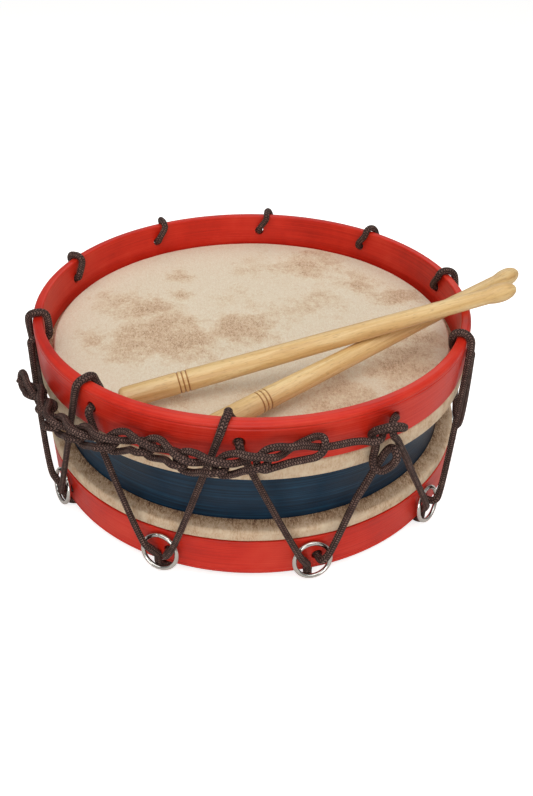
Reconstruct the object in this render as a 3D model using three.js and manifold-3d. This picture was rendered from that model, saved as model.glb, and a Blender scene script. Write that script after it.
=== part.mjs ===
// A rope-tensioned tabor: a shallow wooden drum with a skin on both ends, laced with one brown cord
// whose V-shaped runs are tightened by steel rings, and a pair of turned drumsticks laid across it.
// Millimetres, +Z up. X points to the right of a player who faces the front of the drum.
import * as THREE from "three";
import { mergeVertices } from "three/addons/utils/BufferGeometryUtils.js";
import Module from "manifold-3d";

const { degToRad, euclideanModulo, lerp, smoothstep } = THREE.MathUtils;
const wasm = await Module();
wasm.setup();

// Sizes of the drum
const drumDiameter = 330; // outside the counter hoops
const drumHeight = 132; // from edge to edge of the counter hoops
const hoopWall = 7.4;
const hoopHeight = 31.7;
const hoopInnerRound = 1.5;
const hoopOuterRound = 3.6;
const hoopCrease = 0.35; // depth of the scored line under the rounded edge
const creaseWidth = 1.6;
const headRecess = 25.3; // from the hoop's edge to the skin
const shellGap = 4.2; // radial room between the lapped skin and the counter hoop
const shellWall = 6.5;
const bearingRound = 2.2;
const skinThickness = 1;
const topCollarHeight = 13.8; // skin lapped round the upper flesh hoop
const bottomCollarHeight = 9.5; // skin lapped round the lower flesh hoop
const collarRound = 1.2;
const tuckGap = 2.5; // the skin's tucked edge ends this far short of its bend
const seatGap = 0.3; // between pieces that rest on each other

// Sizes of the lacing
const cordDiameter = 5.5;
const cordFlat = cordDiameter / 10; // worn flat where the drum stands on the cord
const laceHoleDiameter = 8;
const laceHoleInset = 14.5; // from the hoop's free edge to the hole's middle
const laces = 10;
const ringAngle = 32.5; // middle of the first ring, in degrees from +X
const crossingAngle = 15.5; // from a ring to the place where the cord goes over the rim
const topHoleAngle = 3.5; // from the crossing on to the hole in the upper hoop
const bottomHoleAngle = 1.7; // from a ring's middle to the hole behind it
const underAngle = -1; // from a ring's middle to where the cord goes under the lower hoop
const footTop = 6.1; // how far the turn under the lower hoop reaches up beside it
const holeBend = 3.6; // how far above or below a hole the cord turns into it
const insideClear = 0.5; // between the cord and the inner walls of the hoops
const legsOut = 0.9; // how far the legs bow out where they cross in front of the upper collar
const knotLace = 7; // the lace that is knotted below its hole instead of going over the rim

// Sizes of the tension rings
const ringDiameter = 29;
const ringWire = 3.2;
const ringMiddle = 15.55; // above the lower hoop's edge
const crossingClear = 1.3; // room in which a ring can slide up behind the legs
const leftCrossing = 140; // where the two legs of a lace cross a ring, in degrees round the ring
const rightCrossing = 36;

// Sizes of the knot and the plaited tail
const knotDiameter = 5.2; // of the cord, which is drawn thinner in the knot
const tailDiameter = 4.7; // and thinner still in the plait
const knotAngle = 300.4;
const knotOut = 10; // the knot's middle stands out this far from the hoops
const stitches = 10;
const stitchPitch = 24;
const strandSpacing = 6.1; // between the middles of strands that cross
const plaitStart = 281.8; // the plait runs from here to the left, towards smaller angles
const plaitDrops = [14, 20.5, 35]; // below the upper hoop's edge: at the knot, in front, at the left
const plaitRise = [262, 276]; // the angles between which it rises to the knot
const plaitFall = [208, 248]; // and falls to its left end
const plaitLift = [7.5, 15]; // it lies over a pair of legs within so many degrees, and off it beyond

// Sizes of the drumsticks
const stickLength = 287;
const buttRadius = 7.4;
const neckRadius = 5.6;
const bulbRadius = 6.8;
const bulbLength = 23;
const grooveStart = 41;
const grooveSpacing = 3;
const grooveDepth = 0.5;
const grooveHalf = 0.6;
const buttContact = 5; // the stick touches the head this far from its butt end
const lowerButt = { angle: 259.1, inset: 7, heading: 35 }; // inset from the rim's inner wall
const upperButt = { angle: 232.9, inset: 12.9, heading: 15.35 };

const drumSegments = 50;
const cordSides = 6;

// Places that follow from the sizes
const rimRadius = drumDiameter / 2;
const rimInner = rimRadius - hoopWall;
const cordRadius = cordDiameter / 2;
const cordOutside = rimRadius + seatGap + cordRadius;
const cordInside = rimInner - insideClear - cordRadius;
const standHeight = cordDiameter + seatGap - cordFlat; // the lower hoop's edge above the floor
const rimTop = standHeight + drumHeight;
const skinRadius = rimInner - shellGap; // outside of the skin where it comes down the shell
const shellRadius = skinRadius - skinThickness - seatGap;
const headTop = rimTop - headRecess;
const headBottom = standHeight + headRecess;
const topSeat = rimTop - hoopHeight; // the edge that presses the upper flesh hoop down
const bottomSeat = standHeight + hoopHeight;
const laceStep = 360 / laces;

const wood = { roughness: 0.55, metalness: 0 };
const redPaint = new THREE.MeshStandardMaterial({ color: 0xb72f29, roughness: 0.35, metalness: 0 });
const bluePaint = new THREE.MeshStandardMaterial({ color: 0x1f3347, roughness: 0.4, metalness: 0 });
const bareWood = new THREE.MeshStandardMaterial({ color: 0xb98f5e, ...wood });
const goatSkin = new THREE.MeshStandardMaterial({ color: 0xe2ccaa, roughness: 0.8, metalness: 0 });
const steel = new THREE.MeshStandardMaterial({ color: 0xc9c9c6, roughness: 0.2, metalness: 1 });
const cordBrown = new THREE.MeshStandardMaterial({ color: 0x4d423e, roughness: 0.9, metalness: 0 });
const stickWood = new THREE.MeshStandardMaterial({ color: 0xd9b27c, ...wood });

const group = new THREE.Group();

function place(geometry, name, material, parent = group) {
  const mesh = new THREE.Mesh(geometry, material);
  mesh.name = name;
  parent.add(mesh);
  return mesh;
}

// A solid of revolution about Z from [radius, height] pairs that run counter-clockwise.
function turned(profile, segments = drumSegments) {
  const points = profile.map(([radius, height]) => new THREE.Vector2(radius, height));
  return new THREE.LatheGeometry(points, segments).rotateX(Math.PI / 2);
}

function closed(profile) {
  return [...profile, profile[0]];
}

// A point at an angle round the drum, a distance from its axis and a height above the floor.
function around(degrees, radius, z) {
  const angle = degToRad(degrees);
  return new THREE.Vector3(radius * Math.cos(angle), radius * Math.sin(angle), z);
}

function degreesOf(length, radius) {
  return THREE.MathUtils.radToDeg(length / radius);
}

function toSolid(geometry) {
  const bare = geometry.clone();
  bare.deleteAttribute("normal");
  bare.deleteAttribute("uv");
  const merged = mergeVertices(bare, 1e-4);
  return new wasm.Manifold(
    new wasm.Mesh({
      numProp: 3,
      vertProperties: merged.attributes.position.array,
      triVerts: new Uint32Array(merged.index.array),
    }),
  );
}

function toGeometry(solid) {
  const mesh = solid.getMesh();
  const geometry = new THREE.BufferGeometry();
  geometry.setAttribute("position", new THREE.BufferAttribute(mesh.vertProperties, 3));
  geometry.setIndex(new THREE.BufferAttribute(mesh.triVerts, 1));
  geometry.computeVertexNormals();
  return geometry;
}

// A smooth route whose steps are its own points, so that bends keep their points close together.
class CordRoute extends THREE.CatmullRomCurve3 {
  getUtoTmapping(u) {
    return u;
  }
}

// A stretch of a longer route, from one place among its points to another.
class Stretch extends THREE.Curve {
  constructor(route, first, last, radius) {
    super();
    Object.assign(this, { route, first, last, radius, steps: Math.ceil(last - first) });
  }
  getPoint(share, target) {
    return this.route.getPoint(lerp(this.first, this.last, share) / (this.route.points.length - 1), target);
  }
  getUtoTmapping(u) {
    return u;
  }
}

function cordOn(extrudePath, steps, radius) {
  const section = new THREE.Shape();
  for (let side = 0; side < cordSides; side++) {
    const angle = (2 * Math.PI * side) / cordSides;
    const draw = side ? "lineTo" : "moveTo";
    section[draw](radius * Math.cos(angle), radius * Math.sin(angle));
  }
  return new THREE.ExtrudeGeometry(section, { steps, extrudePath });
}

function cordAlong(points) {
  return cordOn(new CordRoute(points), points.length - 1, cordRadius);
}

// Shell: a bent wooden cylinder whose two bearing edges are rounded over outwards
function shell() {
  const top = headTop - skinThickness - seatGap;
  const bottom = headBottom + skinThickness + seatGap;
  const inner = shellRadius - shellWall;
  const profile = [
    [inner, bottom],
    [shellRadius - bearingRound, bottom],
    [shellRadius, bottom + bearingRound],
    [shellRadius, top - bearingRound],
    [shellRadius - bearingRound, top],
    [inner, top],
  ];
  place(turned(closed(profile)), "shell", bluePaint);
}

// Heads: a skin over the bearing edge, down to the flesh hoop, round it and tucked up inside.
// Heights are taken from the edge of the counter hoop that presses on it, towards the playing side.
function headProfile(collarHeight) {
  const level = hoopHeight - headRecess;
  const foot = -seatGap - collarHeight;
  const inside = skinRadius - skinThickness;
  const rim = rimRadius - skinThickness;
  const pinch = -seatGap - skinThickness;
  const bend = bearingRound - 0.4; // a little room round the bearing edge
  return [
    [0, level - skinThickness],
    [inside - bend, level - skinThickness],
    [inside, level - skinThickness - bend],
    [inside, pinch],
    [rim, pinch],
    [rim, foot + skinThickness],
    [skinRadius, foot + skinThickness],
    [skinRadius, pinch - tuckGap],
    [inside, pinch - tuckGap],
    [inside, foot],
    [rimRadius - collarRound, foot],
    [rimRadius, foot + collarRound],
    [rimRadius, -seatGap - collarRound],
    [rimRadius - collarRound, -seatGap],
    [skinRadius + collarRound, -seatGap],
    [skinRadius, collarRound - seatGap],
    [skinRadius, level - bearingRound],
    [skinRadius - bearingRound, level],
    [0, level],
  ];
}

function fleshHoopProfile(collarHeight) {
  const gap = skinThickness + seatGap;
  const top = -seatGap - gap;
  const bottom = -seatGap - collarHeight + gap;
  const inner = skinRadius + seatGap;
  const outer = rimRadius - gap;
  const corner = collarRound;
  return [
    [inner, bottom],
    [outer - corner, bottom],
    [outer, bottom + corner],
    [outer, top - corner],
    [outer - corner, top],
    [inner, top],
  ];
}

// Turned profiles are drawn for the upper end; the lower end is the same form upside down.
function atBothEnds(name, profile, material) {
  const upper = profile(topCollarHeight).map(([radius, z]) => [radius, topSeat + z]);
  const lower = profile(bottomCollarHeight).map(([radius, z]) => [radius, bottomSeat - z]);
  const ring = (points) => (points[0][0] > 0 ? closed(points) : points);
  place(turned(ring(upper)), "top_" + name, material);
  place(turned(ring(lower.reverse())), "bottom_" + name, material);
}

// Counter hoops: bent hoops with a rounded outer edge, a scored line and a row of lacing holes
function counterHoopProfile() {
  const outerSpring = hoopHeight - hoopOuterRound;
  const corner = hoopOuterRound * (1 - Math.SQRT1_2);
  return [
    [rimInner, 0],
    [rimRadius, 0],
    [rimRadius, outerSpring - creaseWidth],
    [rimRadius - hoopCrease, outerSpring - creaseWidth / 2],
    [rimRadius - hoopCrease / 4, outerSpring],
    [rimRadius - corner, hoopHeight - corner],
    [rimRadius - hoopOuterRound, hoopHeight],
    [rimInner + hoopInnerRound, hoopHeight],
    [rimInner, hoopHeight - hoopInnerRound],
  ];
}

function counterHoop(name, toHeight, holeHeight, firstHole) {
  const profile = counterHoopProfile().map(([radius, z]) => [radius, toHeight(z)]);
  const upright = toHeight(1) > toHeight(0);
  let solid = toSolid(turned(closed(upright ? profile : profile.reverse())));
  for (let i = 0; i < laces; i++) {
    const drill = new THREE.CylinderGeometry(laceHoleDiameter / 2, laceHoleDiameter / 2, 3 * hoopWall, 8);
    const angle = degToRad(firstHole + i * laceStep);
    const middle = around(firstHole + i * laceStep, rimRadius - hoopWall / 2, holeHeight);
    drill.rotateZ(Math.PI / 2).rotateZ(angle).translate(middle.x, middle.y, middle.z);
    solid = solid.subtract(toSolid(drill));
  }
  place(toGeometry(solid), name, redPaint);
}

// Lacing: the same route is repeated round the drum, from the inside of the lower hoop out through
// its hole, in front of the ring, up over the rim, in, out of the upper hole and down to the next ring
const topHoleHeight = rimTop - laceHoleInset;
const bottomHoleHeight = standHeight + laceHoleInset;
const wrap = seatGap + cordRadius; // how far the cord's middle runs from the wood

// The ring leans: its upper wire lies on the hoop and its lower wire lies outside the cord.
const ringRadius = (ringDiameter - ringWire) / 2;
const ringHeight = standHeight + ringMiddle;
const wireInner = rimRadius + seatGap + ringWire / 2;
const wireOuter = cordOutside + cordRadius + seatGap + ringWire / 2;
const ringLean = Math.asin((wireOuter - wireInner) / (2 * ringRadius));
const ringOut = (wireInner + wireOuter) / 2;

// The cord's place where it passes in front of the ring's wire, at an angle round the ring.
function overWire(ringAt, degrees) {
  const angle = degToRad(degrees);
  const up = ringRadius * Math.sin(angle);
  const radius = ringOut - up * Math.sin(ringLean) + ringWire / 2 + cordRadius + crossingClear;
  const side = degreesOf(ringRadius * Math.cos(angle), radius);
  return { degrees: ringAt + side, radius, z: ringHeight + up * Math.cos(ringLean) };
}

function outOfLowerHole(ringAt) {
  const hole = ringAt + bottomHoleAngle;
  const front = overWire(ringAt, rightCrossing);
  return [
    around(hole, cordInside, standHeight + footTop + seatGap),
    around(hole, cordInside, bottomHoleHeight - holeBend),
    around(hole, cordInside + 1, bottomHoleHeight - 1),
    around(hole, rimInner + 0.8, bottomHoleHeight),
    around(hole, rimRadius, bottomHoleHeight),
    around(hole + 0.2, front.radius - 2.2, bottomHoleHeight + 1),
    around(hole + 0.6, front.radius - 0.2, bottomHoleHeight + 3.4),
    around(front.degrees, front.radius, front.z),
  ];
}

function overTheRim(crossing) {
  const innerSpring = rimTop - hoopInnerRound;
  const outerSpring = rimTop - hoopOuterRound;
  const innerArc = hoopInnerRound + wrap;
  const outerArc = hoopOuterRound + wrap;
  const innerMiddle = cordInside + innerArc;
  const outerMiddle = cordOutside - outerArc;
  const points = [];
  for (const turn of [0, 30, 60, 90]) {
    const angle = degToRad(turn);
    const radius = outerMiddle + outerArc * Math.cos(angle);
    points.push(around(crossing, radius, outerSpring + outerArc * Math.sin(angle)));
  }
  for (const turn of [100, 140, 180]) {
    const angle = degToRad(turn);
    const radius = innerMiddle + innerArc * Math.cos(angle);
    points.push(around(crossing, radius, innerSpring + innerArc * Math.sin(angle)));
  }
  return points;
}

function outOfUpperHole(hole) {
  return [
    around(hole - 0.2, cordInside, topHoleHeight + holeBend),
    around(hole, cordInside + 1, topHoleHeight + 1),
    around(hole, rimInner + 0.8, topHoleHeight),
    around(hole, rimRadius, topHoleHeight),
  ];
}

function downToRing(ringAt) {
  const front = overWire(ringAt, leftCrossing);
  const under = ringAt + underAngle;
  const inside = wireOuter - ringWire / 2 - wrap;
  return [
    around(front.degrees, front.radius, front.z),
    around(front.degrees + 0.9, front.radius - 1.6, front.z - 5),
    around(under - 0.3, inside + 0.6, ringHeight - 4),
    around(under, inside, standHeight + footTop + 4),
    around(under, inside, standHeight + footTop + seatGap),
  ];
}

function lacing() {
  let run = 1;
  for (let i = 0; i < laces; i++) {
    const ringAt = ringAngle + i * laceStep;
    const crossing = ringAt + crossingAngle;
    const hole = crossing + topHoleAngle;
    const nextRing = ringAt + laceStep;
    place(lacingFoot(ringAt), "lacing_foot_" + (i + 1), cordBrown);
    if (i === knotLace) {
      lacingAtKnot(ringAt, hole, nextRing);
      continue;
    }
    const route = [
      ...outOfLowerHole(ringAt),
      around(crossing - 1.2, cordOutside + legsOut, topSeat + 9),
      ...overTheRim(crossing),
      ...outOfUpperHole(hole),
      around(hole + 0.3, cordOutside + 0.3, topHoleHeight - 1.6),
      around(hole + 0.8, cordOutside + legsOut, topHoleHeight - 6),
      ...downToRing(nextRing),
    ];
    place(cordAlong(route), "lacing_run_" + run, cordBrown);
    run += 1;
  }
}

// At the knot a place is given to the right of its middle, down from the upper hoop's edge and out
// from the hoops.
const fallingLeg = [
  [7.6, 12.6, 2.8], // out of its hole
  [3.2, 11, 5.2],
  [-0.2, 12.2, 8.4], // behind the knot's top turn
  [-0.8, 16.2, 10.3],
  [1.2, 20.6, 10],
  [4.8, 24.8, 9.4],
  [7.4, 29.6, 9.2], // out of the knot's right side
  [9.9, 33.8, 8.8],
  [16.8, 45.6, 8],
  [26, 62, 7],
];
const risingLeg = [
  [-19.4, 66, 6],
  [-16, 60, 6.2],
  [-12.6, 53.2, 6.4],
  [-9.8, 48, 6.6],
];
const knotRoute = [
  [-7.4, 43.6, 6.8], // up behind the hanging bight
  [-5, 40, 7.2],
  [-3, 36.6, 7.8],
  [-1.6, 33.4, 8.3],
  [-0.8, 30.4, 9.2],
  [-0.8, 27.8, 10.9], // over the bight's top
  [-1.2, 26.6, 13.8],
  [-1.6, 27.8, 16.8],
  [-2, 30.8, 18.2], // down its front
  [-2.6, 34.6, 17.4],
  [-3.4, 38, 15.8],
  [-5.2, 40.8, 14.4], // across its bottom
  [-8, 42.2, 13.2],
  [-10.8, 41.6, 11.6],
  [-12.4, 39.2, 9.2], // up the left side
  [-11.4, 36.4, 6.6],
  [-9, 33.8, 4.6],
  [-7.4, 30.6, 3.6],
  [-7.6, 27, 3.3],
  [-9.6, 23.4, 3.4],
  [-11.8, 20, 3.8],
  [-13.2, 16, 5.4],
  [-12.8, 11.4, 8.8], // the top turn, in front of the falling leg
  [-9.8, 7.8, 12.8],
  [-5.4, 6.2, 15.6],
  [-1, 7.4, 16.6],
  [3, 10.4, 15.2],
  [5.4, 14.2, 11.6], // round the falling leg
  [5.4, 17.2, 7.4],
];
const leadRoute = [
  [3.6, 19, 4.4], // back to the left behind it
  [0.4, 19.8, 3.2],
  [-2.8, 19.4, 3.8],
  [-5.6, 18.2, 6.4], // and out over the cord's own rise to the top turn
  [-8.2, 17.2, 9.6],
  [-11.6, 17, 11.8],
  [-15.6, 17.8, 11.2],
  [-20, 17.4, 8.8],
  [-27, 16.6, 7.6],
];

function knotPlace([right, down, out]) {
  const degrees = knotAngle + degreesOf(right, rimRadius + knotOut);
  return around(degrees, rimRadius + out, rimTop - down);
}

// One route runs up from its ring, through the knot and on along the plait. Its first cut is hidden
// under the bight's bottom and its second where the cord turns behind the falling leg.
function lacingAtKnot(ringAt, hole, nextRing) {
  const rising = [...outOfLowerHole(ringAt), ...risingLeg.map(knotPlace)];
  const tail = [...leadRoute.map(knotPlace), ...plait()];
  const route = new CordRoute([...rising, ...knotRoute.map(knotPlace), ...tail]);
  const knotStart = rising.length;
  const knotEnd = knotStart + knotRoute.length - 1;
  const cut = seatGap / route.points[knotEnd].distanceTo(route.points[knotEnd + 1]);
  const pieces = {
    lacing_start: new Stretch(route, 0, knotStart - cut, cordRadius),
    lacing_knot: new Stretch(route, knotStart, knotEnd, knotDiameter / 2),
    plaited_tail: new Stretch(route, knotEnd + cut, route.points.length - 1, tailDiameter / 2),
  };
  for (const [name, piece] of Object.entries(pieces)) {
    place(cordOn(piece, piece.steps, piece.radius), name, cordBrown);
  }
  const least = leastGap(Object.values(pieces)).toFixed(2);
  console.log("least gap between strands in the knot and the plait, mm:", least);
  const falling = [...outOfUpperHole(hole), ...fallingLeg.map(knotPlace), ...downToRing(nextRing)];
  place(cordAlong(falling), "lacing_end", cordBrown);
}

// The cord under the lower hoop: the drum stands on these turns, which are worn flat below.
function lacingFoot(ringAt) {
  const under = ringAt + underAngle;
  const hole = ringAt + bottomHoleAngle;
  const outerArc = hoopOuterRound + wrap;
  const innerArc = hoopInnerRound + wrap;
  const outerMiddle = cordOutside - outerArc;
  const innerMiddle = cordInside + innerArc;
  const route = [around(under, cordOutside, standHeight + footTop)];
  for (const turn of [0, 45, 90]) {
    const angle = degToRad(turn);
    const radius = outerMiddle + outerArc * Math.cos(angle);
    const degrees = under + ((hole - under) * turn) / 210;
    route.push(around(degrees, radius, standHeight + hoopOuterRound - outerArc * Math.sin(angle)));
  }
  for (const turn of [90, 135, 180]) {
    const angle = degToRad(turn);
    const radius = innerMiddle + innerArc * Math.cos(angle);
    const degrees = under + ((hole - under) * (turn + 30)) / 210;
    route.push(around(degrees, radius, standHeight + hoopInnerRound - innerArc * Math.sin(angle)));
  }
  route.push(around(hole, cordInside, standHeight + footTop));
  const wornDepth = 20; // the block that takes off what would lie below the floor
  const floor = new THREE.BoxGeometry(2 * wornDepth, 2 * wornDepth, wornDepth);
  const spot = around(under, rimRadius - hoopWall / 2, -wornDepth / 2);
  floor.translate(spot.x, spot.y, spot.z);
  return toGeometry(toSolid(cordAlong(route)).subtract(toSolid(floor)));
}

// Plaited tail: a chain stitch, each loop of which is drawn through the loop before it.
// One stitch is listed as [along, across, out]: along the plait in pitches, the others in strand spacings.
const stitch = [
  [-0.55, -0.25, -1], // behind the plait
  [-0.25, 0, -0.25], // up through the loop before
  [-0.05, 0.5, 0.45],
  [0.25, 0.9, 0.6], // the loop's upper leg
  [0.55, 1.05, 0.25],
  [0.85, 1.1, -0.3],
  [1.15, 0.8, -0.4], // the loop's head
  [1.35, -0.2, -0.1],
  [1.2, -1.2, 0],
  [0.9, -1.25, -0.05], // the loop's lower leg
  [0.65, -0.6, 0.45],
  [0.35, -0.25, 0.9],
  [0.1, -0.3, 0.3], // down through the loop before
  [0.15, -0.3, -0.8],
];
const opening = [
  [-0.5, -0.2, -0.05], // the lead comes in along the middle
  [-0.15, 0.1, 0.05],
  [0.2, 0.75, 0.35],
  ...stitch.slice(4, 9),
  [0.9, -1.1, 0],
  [0.5, -0.9, 0.3],
  [0.15, -0.8, 0.65],
  [-0.1, -0.4, 0.95], // and the first loop's end is wound once round it
  [-0.25, 0.25, 1.05],
  [-0.33, 0.85, 0.65],
  [-0.33, 1.05, -0.1],
  [-0.2, 0.7, -0.8],
  [0.05, 0.15, -1.05],
];
const plaitClear = 0.45; // between the plait and what it lies on
const plaitDeep = strandSpacing + tailDiameter / 2 + plaitClear;
const plaitOnHoop = rimRadius + plaitDeep; // the plait's middle between two pairs of legs
const plaitOnLegs = cordOutside + legsOut + cordRadius + plaitDeep; // and where it crosses a pair

function plaitPlace([along, across, out], row) {
  const degrees = plaitStart - degreesOf((row + along) * stitchPitch, plaitOnHoop);
  const legPair = ringAngle + crossingAngle + (topHoleAngle + 1) / 2;
  const pastPair = euclideanModulo(degrees - legPair, laceStep);
  const fromPair = Math.min(pastPair, laceStep - pastPair);
  const radius = lerp(plaitOnLegs, plaitOnHoop, smoothstep(fromPair, ...plaitLift)) + out * strandSpacing;
  const [start, middle, end] = plaitDrops;
  const rise = (middle - start) * smoothstep(degrees, ...plaitRise);
  const fall = (end - middle) * (1 - smoothstep(degrees, ...plaitFall));
  return around(degrees, radius, rimTop - middle + rise - fall + across * strandSpacing);
}

function plait() {
  const route = opening.map((point) => plaitPlace(point, 0));
  for (let row = 1; row < stitches; row++) {
    route.push(...stitch.map((point) => plaitPlace(point, row)));
  }
  const drawnThrough = stitch.slice(0, 3); // the tail ends drawn through the last loop
  route.push(...drawnThrough.map((point) => plaitPlace(point, stitches)));
  return route;
}

// The least gap between strands of one cord that aren't neighbours along it.
function leastGap(pieces) {
  const points = pieces.flatMap((piece) => piece.getPoints(piece.steps * 4));
  const radii = pieces.flatMap((piece) => piece.getPoints(piece.steps * 4).map(() => piece.radius));
  let least = Infinity;
  let travelled = 0;
  const travel = points.map((point, i) => (travelled += i ? point.distanceTo(points[i - 1]) : 0));
  points.forEach((point, i) => {
    for (let j = 0; j < i; j++) {
      const gap = point.distanceTo(points[j]) - radii[i] - radii[j];
      if (travel[i] - travel[j] > 3 * tailDiameter) least = Math.min(least, gap);
    }
  });
  return least;
}

// Tension rings: round steel wire, leaning on the lower hoop
function tensionRings() {
  for (let i = 0; i < laces; i++) {
    const holder = new THREE.Group();
    const angle = ringAngle + i * laceStep;
    holder.position.copy(around(angle, ringOut, ringHeight));
    holder.rotation.z = degToRad(angle);
    group.add(holder);
    const wire = new THREE.TorusGeometry(ringRadius, ringWire / 2, 6, 16);
    const ring = place(wire, "tension_ring_" + (i + 1), steel, holder);
    ring.rotation.y = Math.PI / 2 - ringLean;
  }
}

// Drumsticks: turned wood with a rounded butt, three scored lines, a long taper and an acorn tip
function stickProfile() {
  const grooves = [];
  for (let i = 0; i < 3; i++) {
    const middle = grooveStart + i * grooveSpacing;
    grooves.push([buttRadius, middle - grooveHalf]);
    grooves.push([buttRadius - grooveDepth, middle]);
    grooves.push([buttRadius, middle + grooveHalf]);
  }
  const bulb = stickLength - bulbLength;
  return [
    [0, 0],
    [buttRadius * 0.6, 0.5],
    [buttRadius * 0.9, 1.9],
    [buttRadius, 4.5],
    ...grooves,
    [neckRadius, bulb],
    [bulbRadius * 0.94, bulb + bulbLength * 0.25],
    [bulbRadius, bulb + bulbLength * 0.47],
    [bulbRadius * 0.88, bulb + bulbLength * 0.72],
    [bulbRadius * 0.5, bulb + bulbLength * 0.94],
    [0, stickLength],
  ];
}

// The stick's radius at a distance from its butt, on the long taper.
function stickRadiusAt(along) {
  const taperStart = grooveStart + 2 * grooveSpacing + grooveHalf;
  const share = (along - taperStart) / (stickLength - bulbLength - taperStart);
  return lerp(buttRadius, neckRadius, THREE.MathUtils.clamp(share, 0, 1));
}

const contactHeight = headTop + seatGap;

function headingOf(degrees) {
  const angle = degToRad(degrees);
  return new THREE.Vector2(Math.cos(angle), Math.sin(angle));
}

// The axis of a stick from its butt's plan place, its heading and its rise for each millimetre run.
function stickAxis(butt, heading, slope) {
  const start = contactHeight + buttRadius * Math.hypot(1, slope) - slope * buttContact;
  const direction = new THREE.Vector3(heading.x, heading.y, slope).normalize();
  return { origin: new THREE.Vector3(butt.x, butt.y, start), direction };
}

// The lower stick leans on the rim: its slope is the one that seats it on the rim's top.
function lowerStickAxis() {
  const butt = around(lowerButt.angle, rimInner - lowerButt.inset, 0);
  const heading = headingOf(lowerButt.heading);
  const rimMiddle = rimRadius - hoopWall / 2;
  const along = butt.x * heading.x + butt.y * heading.y;
  const reach = -along + Math.sqrt(along * along + rimMiddle * rimMiddle - butt.lengthSq());
  let slope = 0;
  for (let i = 0; i < 8; i++) {
    const lean = Math.hypot(1, slope);
    const rise = rimTop + seatGap + stickRadiusAt(reach) * lean - contactHeight - buttRadius * lean;
    slope = rise / (reach - buttContact);
  }
  return stickAxis(butt, heading, slope);
}

// The upper stick lies across the lower one.
function upperStickAxis(lower) {
  const butt = around(upperButt.angle, rimInner - upperButt.inset, 0);
  const heading = headingOf(upperButt.heading);
  const apart = new THREE.Vector2(lower.origin.x - butt.x, lower.origin.y - butt.y);
  const below = headingOf(lowerButt.heading);
  const cross = heading.cross(below);
  const run = apart.cross(below) / cross;
  const lowerRun = apart.cross(heading) / cross;
  const lowerSlope = lower.direction.z / Math.hypot(lower.direction.x, lower.direction.y);
  const lowerHeight = lower.origin.z + lowerSlope * lowerRun;
  const radii = stickRadiusAt(run) + stickRadiusAt(lowerRun) + seatGap;
  let axis = stickAxis(butt, heading, 0);
  for (let i = 0; i < 8; i++) {
    const common = new THREE.Vector3().crossVectors(axis.direction, lower.direction).normalize();
    const height = lowerHeight + radii / Math.abs(common.z);
    axis = stickAxis(butt, heading, (height - axis.origin.z) / run);
  }
  return axis;
}

function drumstick(name, axis) {
  const profile = stickProfile().map(([radius, along]) => new THREE.Vector2(radius, along));
  const stick = place(new THREE.LatheGeometry(profile, 12), name, stickWood);
  stick.position.copy(axis.origin);
  stick.quaternion.setFromUnitVectors(new THREE.Vector3(0, 1, 0), axis.direction);
}

shell();
atBothEnds("head", headProfile, goatSkin);
atBothEnds("flesh_hoop", fleshHoopProfile, bareWood);
const firstTopHole = ringAngle + crossingAngle + topHoleAngle;
counterHoop("top_counter_hoop", (z) => topSeat + z, topHoleHeight, firstTopHole);
counterHoop("bottom_counter_hoop", (z) => bottomSeat - z, bottomHoleHeight, ringAngle + bottomHoleAngle);
lacing();
tensionRings();
const lowerAxis = lowerStickAxis();
drumstick("lower_drumstick", lowerAxis);
drumstick("upper_drumstick", upperStickAxis(lowerAxis));

// The origin is under the middle of the whole, on the floor that it stands on.
const box = new THREE.Box3().setFromObject(group, true);
group.position.set(-(box.min.x + box.max.x) / 2, -(box.min.y + box.max.y) / 2, -box.min.z);

export default group;
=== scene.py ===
import math

import bmesh
import bpy
import numpy as np
from mathutils import Matrix, Vector


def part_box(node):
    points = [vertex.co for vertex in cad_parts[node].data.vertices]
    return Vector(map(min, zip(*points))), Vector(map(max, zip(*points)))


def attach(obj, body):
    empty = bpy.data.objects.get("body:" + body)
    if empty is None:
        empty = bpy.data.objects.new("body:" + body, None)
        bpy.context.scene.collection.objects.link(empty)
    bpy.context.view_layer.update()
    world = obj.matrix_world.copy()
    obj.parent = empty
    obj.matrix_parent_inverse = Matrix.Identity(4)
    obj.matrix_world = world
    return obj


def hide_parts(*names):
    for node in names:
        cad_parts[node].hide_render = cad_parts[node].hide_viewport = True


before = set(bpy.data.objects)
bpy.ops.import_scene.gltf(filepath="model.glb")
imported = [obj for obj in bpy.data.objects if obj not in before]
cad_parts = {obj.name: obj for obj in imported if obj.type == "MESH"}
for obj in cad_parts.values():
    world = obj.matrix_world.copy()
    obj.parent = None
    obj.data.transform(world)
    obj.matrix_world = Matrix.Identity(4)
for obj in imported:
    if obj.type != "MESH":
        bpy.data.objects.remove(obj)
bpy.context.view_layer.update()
mm = 0.001

# the drum's axis, on the floor
shellLow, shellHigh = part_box("shell")
axisX = (shellLow.x + shellHigh.x) / 2
axisY = (shellLow.y + shellHigh.y) / 2
print("axis of the drum at", round(axisX, 5), round(axisY, 5))

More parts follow.
